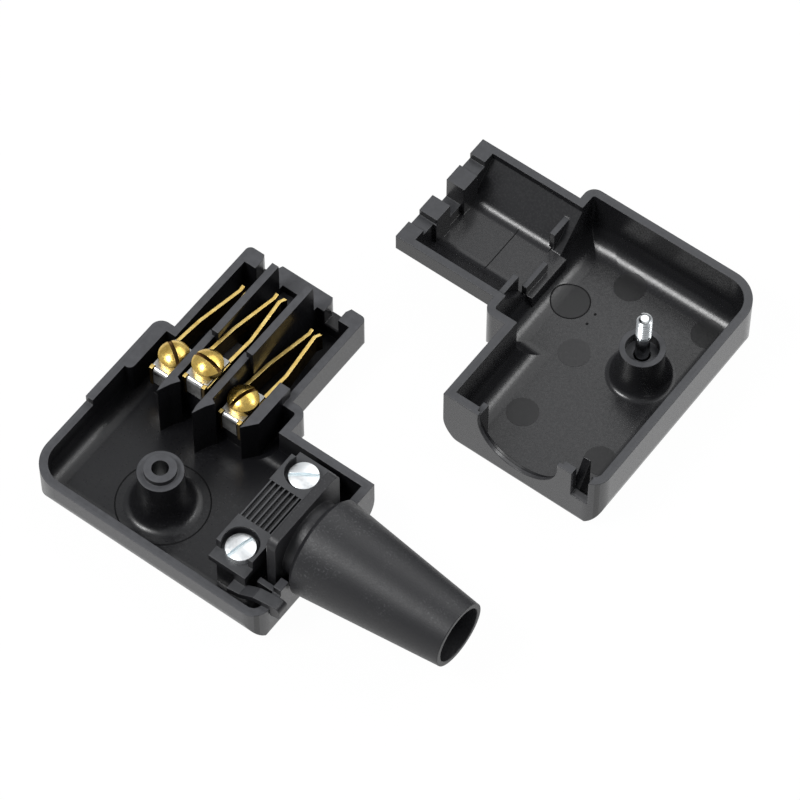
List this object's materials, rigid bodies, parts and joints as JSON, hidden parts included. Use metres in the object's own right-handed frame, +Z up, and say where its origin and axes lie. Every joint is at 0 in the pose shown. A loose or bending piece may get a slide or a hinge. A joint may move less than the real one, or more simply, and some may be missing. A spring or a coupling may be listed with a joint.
{
  "type": "angled iec connector",
  "caption": "Rewirable angled appliance connector lying open: base half with spring contacts, screw terminals, cable clamp and tapered sleeve, cover half beside it.",
  "frame": {"origin": "underside of the base half, under the crossing of the mouth and cable centre lines", "axes": "+X along the cable sleeve, +Y out of the pin mouth, +Z up out of the open base"},
  "size_m": [0.0772, 0.0956, 0.019],
  "materials": {
    "moulded_black": "satin",
    "sleeve_black": "satin",
    "clamp_black": "satin",
    "brass": "bright",
    "zinc": "bright zinc",
    "tinned": "tinned"
  },
  "bodies": {
    "root": {"base_shell": "moulded_black", "cover_shell": "moulded_black", "cord_sleeve": "sleeve_black", "cord_clamp": "clamp_black", "clamp_screw_far": "zinc", "clamp_screw_near": "zinc", "cover_screw": "zinc", "cover_nut": "zinc", "line_contact": "brass", "earth_contact": "brass", "neutral_contact": "brass", "line_clamp_plate": "tinned", "earth_clamp_plate": "tinned", "neutral_clamp_plate": "tinned", "line_terminal_screw": "brass", "earth_terminal_screw": "brass", "neutral_terminal_screw": "brass"}
  },
  "joints": []
}
